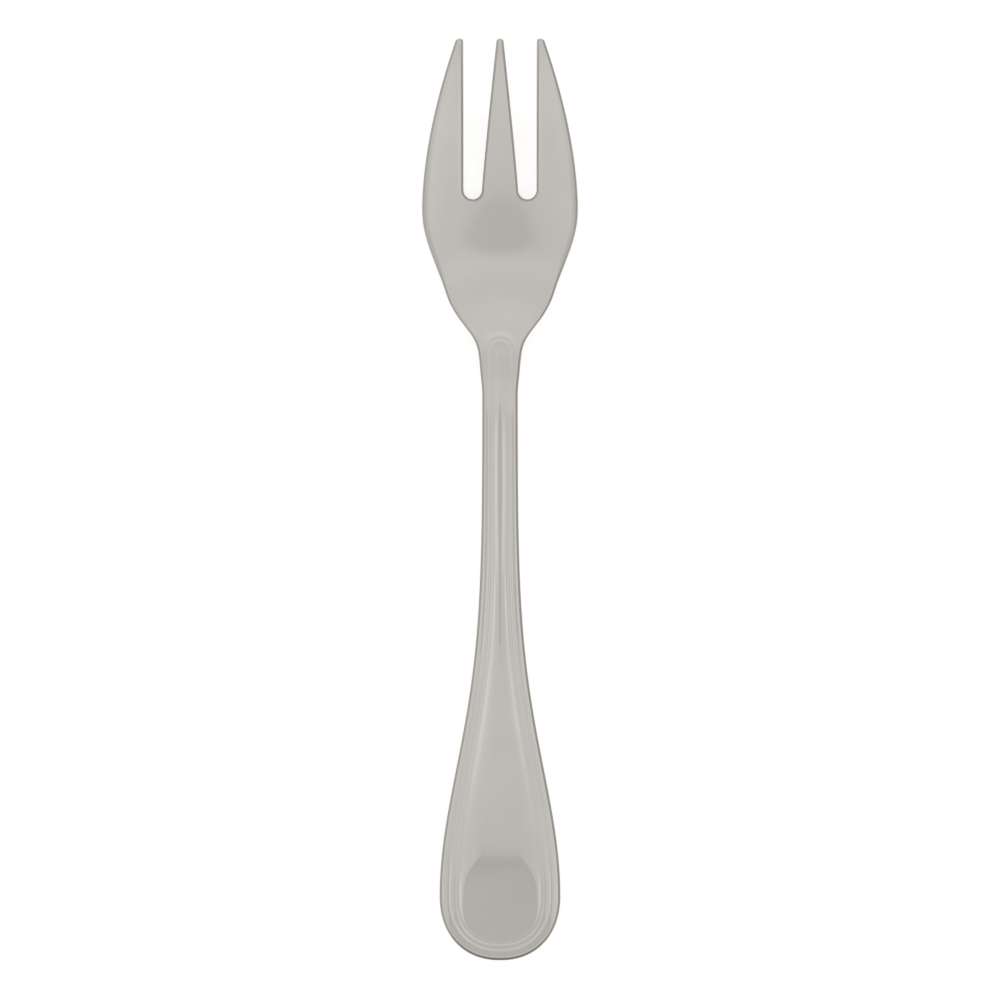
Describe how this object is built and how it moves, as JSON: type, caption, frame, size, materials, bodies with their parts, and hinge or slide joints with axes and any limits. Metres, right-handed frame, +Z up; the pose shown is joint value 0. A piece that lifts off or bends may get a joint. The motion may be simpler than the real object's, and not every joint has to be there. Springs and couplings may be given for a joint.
{
  "type": "oyster fork",
  "caption": "Small three-tine oyster fork of polished stainless steel with a threaded handle, one solid piece.",
  "frame": {"origin": "under the middle of the fork, at the height of the table that it lies on", "axes": "+Y from the handle's end to the tips of the tines, +X across the fork, +Z up out of its patterned face"},
  "size_m": [0.0254, 0.15, 0.0099],
  "materials": {
    "polished_steel": "polished"
  },
  "bodies": {
    "root": {"fork": "polished_steel"}
  },
  "joints": []
}
